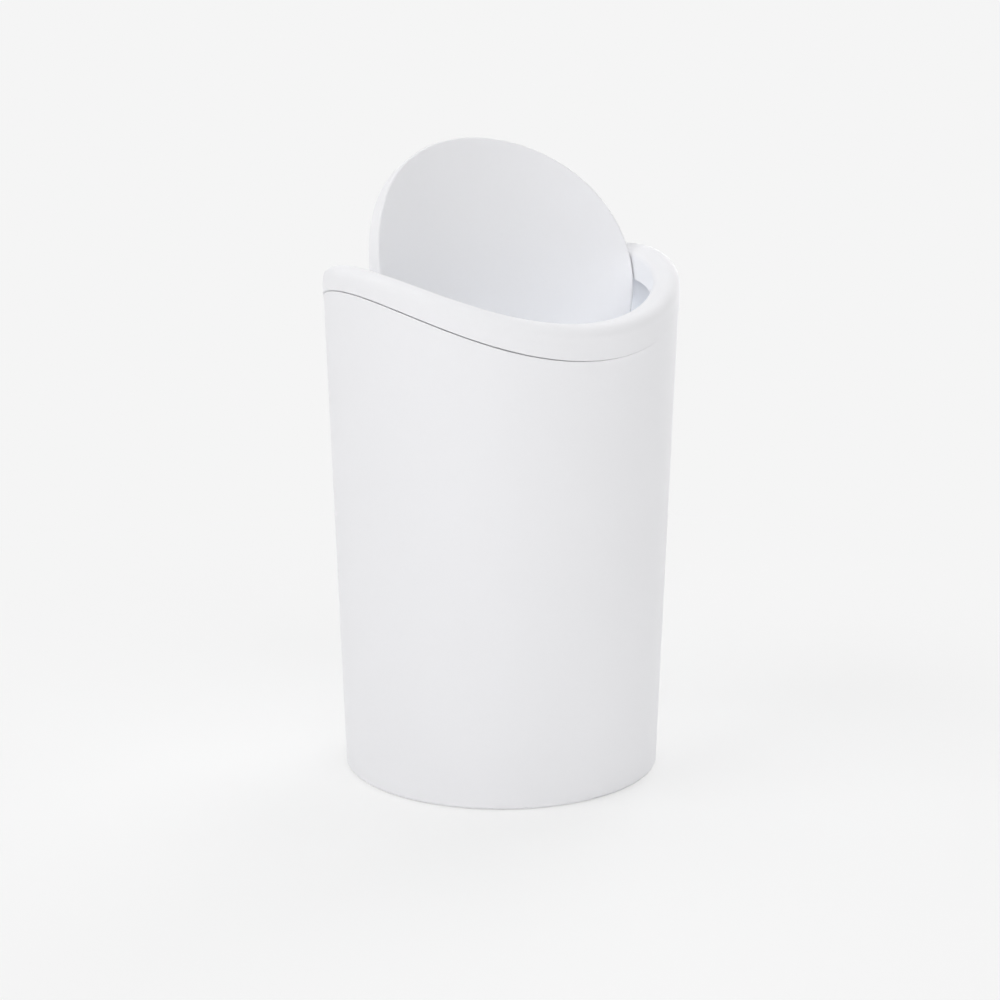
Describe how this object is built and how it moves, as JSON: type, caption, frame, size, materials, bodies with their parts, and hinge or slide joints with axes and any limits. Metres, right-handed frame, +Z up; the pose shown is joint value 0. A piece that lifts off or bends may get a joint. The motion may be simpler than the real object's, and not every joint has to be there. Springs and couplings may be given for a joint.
{
  "type": "countertop bin with swing lid",
  "caption": "Small round tapered countertop bin with a saddle-shaped lift-off collar and a round lid that swings on a cross axis.",
  "frame": {"origin": "centre of the plane that the bin stands on, on the bucket's axis", "axes": "+Z up, +X along the lid's pivot axis to the user's right, -Y to the user at the front; the lid is stored tipped open"},
  "size_m": [0.1448, 0.1448, 0.2593],
  "materials": {
    "body_plastic": "white polypropylene, fine satin, plain inside",
    "collar_plastic": "white polypropylene, fine satin",
    "lid_plastic": "white polypropylene, fine satin",
    "pin_steel": "ground stainless steel",
    "bush_plastic": "natural white acetal, smooth",
    "pad_rubber": "pale grey rubber, matt"
  },
  "bodies": {
    "bin": {"bin_body": "body_plastic", "foot_pad_1": "pad_rubber", "foot_pad_2": "pad_rubber", "foot_pad_3": "pad_rubber", "foot_pad_4": "pad_rubber"},
    "collar": {"rim_collar": "collar_plastic", "pivot_bush_left": "bush_plastic", "pivot_bush_right": "bush_plastic"},
    "lid": {"lid_shell": "lid_plastic", "lid_underside": "lid_plastic", "pivot_pin_left": "pin_steel", "pivot_pin_right": "pin_steel"}
  },
  "joints": [
    {"name": "collar_lift", "type": "slide", "parent": "bin", "child": "collar", "axis": [0, 0, 1], "range_m": [0, 0.035]},
    {"name": "lid_hinge", "type": "hinge", "parent": "collar", "child": "lid", "pos_m": [0, 0, 0.20465], "axis": [1, 0, 0], "range_deg": [-157.3, 12.7]}
  ]
}
